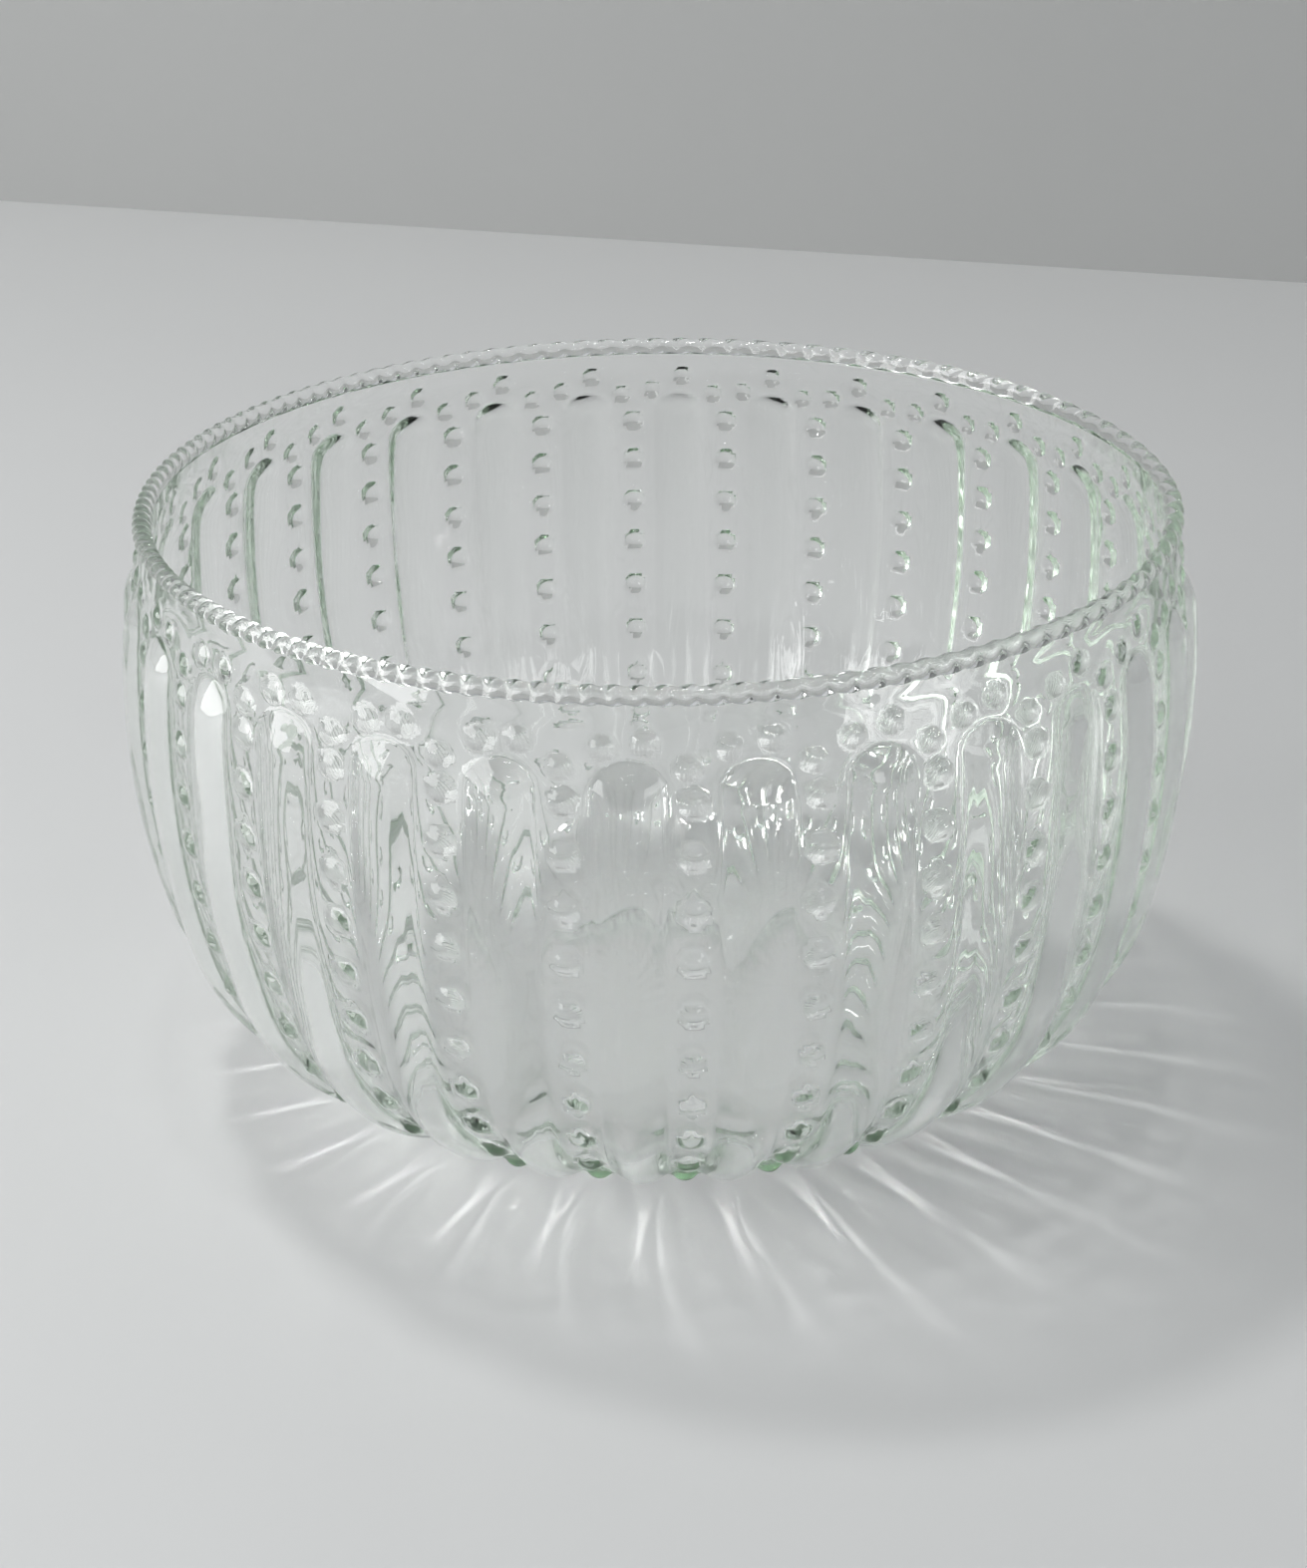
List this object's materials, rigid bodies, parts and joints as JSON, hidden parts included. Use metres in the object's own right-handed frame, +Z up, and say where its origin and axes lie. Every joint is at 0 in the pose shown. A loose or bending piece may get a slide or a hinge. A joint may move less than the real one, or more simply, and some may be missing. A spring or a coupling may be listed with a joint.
{
  "type": "punch bowl",
  "caption": "Clear glass punch bowl with arched lobes, hobnail columns and a rope-twisted lip, standing on its own base.",
  "frame": {"origin": "centre of the resting face, on the bowl's axis", "axes": "+Z up along the bowl's axis, towards the mouth"},
  "size_m": [0.3144, 0.3128, 0.175],
  "materials": {
    "glass": "gloss"
  },
  "bodies": {
    "root": {"bowl_wall": "glass", "arched_lobes": "glass", "column_hobnails": "glass", "shoulder_hobnails": "glass", "rope_lip": "glass"}
  },
  "joints": []
}
